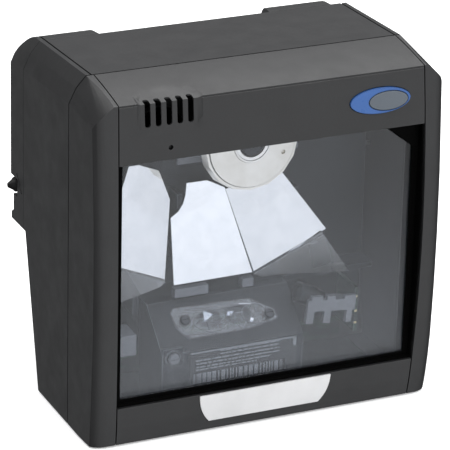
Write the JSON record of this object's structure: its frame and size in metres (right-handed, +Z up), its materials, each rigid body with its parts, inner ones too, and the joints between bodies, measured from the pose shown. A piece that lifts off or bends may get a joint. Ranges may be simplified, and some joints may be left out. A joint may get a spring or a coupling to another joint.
{
  "type": "vertical presentation barcode scanner",
  "caption": "Compact upright counter-top laser barcode scanner: charcoal housing, tall front window over mirrors and a spinning facet wheel, oval push button, speaker vent.",
  "frame": {"origin": "on the counter, under the middle of the bounding box", "axes": "+Z up, the front window faces -Y, +X is to the right as seen from the front"},
  "size_m": [0.159, 0.0958, 0.152],
  "materials": {
    "housing_plastic": "fine satin texture, charcoal",
    "black_plastic": "satin black",
    "black_rubber": "matte black rubber",
    "window_pane": "polished, lightly tinted",
    "plate_plastic": "semi-gloss white",
    "blue_plastic": "semi-gloss blue",
    "grey_plastic": "semi-gloss slate grey",
    "chassis_plastic": "satin dark grey",
    "silvered": "first-surface silvering",
    "satin_aluminium": "satin machined",
    "steel": "turned",
    "dark_steel": "dark, phosphated",
    "circuit_board": "green solder resist",
    "pale_grey": "satin pale grey",
    "label_paper": "matte printed label",
    "clear_plastic": "clear moulded",
    "paper_cone": "black paper cone"
  },
  "bodies": {
    "housing": {"front_cover": "housing_plastic", "brow_fascia": "housing_plastic", "lower_bar": "housing_plastic", "rear_housing": "housing_plastic", "rear_cover": "housing_plastic", "name_plate": "plate_plastic", "stand_pin_left": "black_plastic", "stand_pin_right": "black_plastic", "speaker_bracket": "black_plastic", "base_plate": "black_plastic", "light_pipe": "black_plastic", "photodiode": "black_plastic", "host_socket": "black_plastic", "aux_socket": "black_plastic", "power_jack": "black_plastic", "foot_1": "black_rubber", "foot_2": "black_rubber", "foot_3": "black_rubber", "foot_4": "black_rubber", "window_gasket": "black_rubber", "rear_screw_1": "steel", "rear_screw_2": "steel", "rear_screw_3": "steel", "rear_screw_4": "steel", "motor_can": "steel", "window_glass": "window_pane", "button_bezel": "blue_plastic", "laser_barrel": "dark_steel", "switch_body": "dark_steel", "collector_screw_1": "dark_steel", "collector_screw_2": "dark_steel", "button_board": "circuit_board", "motor_board": "circuit_board", "detector_board": "circuit_board", "laser_board": "circuit_board", "main_board": "circuit_board", "speaker": "paper_cone", "optical_chassis": "chassis_plastic", "electronics_cover": "chassis_plastic", "mirror_left": "silvered", "mirror_center": "silvered", "mirror_right": "silvered", "mirror_lower_left": "silvered", "mirror_lower_right": "silvered", "mirror_clip_wide": "pale_grey", "mirror_clip_small": "pale_grey", "motor_bracket": "pale_grey", "cover_screw": "pale_grey", "laser_bracket": "pale_grey", "power_module": "pale_grey", "rating_label": "label_paper", "collector_optic": "clear_plastic", "laser_lens": "clear_plastic"},
    "rotor": {"facet_wheel": "satin_aluminium", "rotor_hub": "dark_steel", "spindle": "steel"},
    "button": {"push_button": "grey_plastic"},
    "plunger": {"switch_plunger": "black_plastic"}
  },
  "joints": [
    {"name": "wheel_spin", "type": "hinge", "parent": "housing", "child": "rotor", "pos_m": [-0.0006, -0.024, 0.1172], "axis": [0, 1, 0], "continuous": true},
    {"name": "button_press", "type": "slide", "parent": "housing", "child": "button", "axis": [0, 0.9963, -0.0863], "range_m": [0, 0.0006], "stiffness_N_per_m": 500, "springref_m": -0.0004},
    {"name": "switch_press", "type": "slide", "parent": "housing", "child": "plunger", "axis": [0, 0.9963, -0.0863], "range_m": [0, 0.0006]}
  ],
  "couplings": [
    {"joint": "switch_press", "follows": "button_press", "ratio": 1}
  ]
}
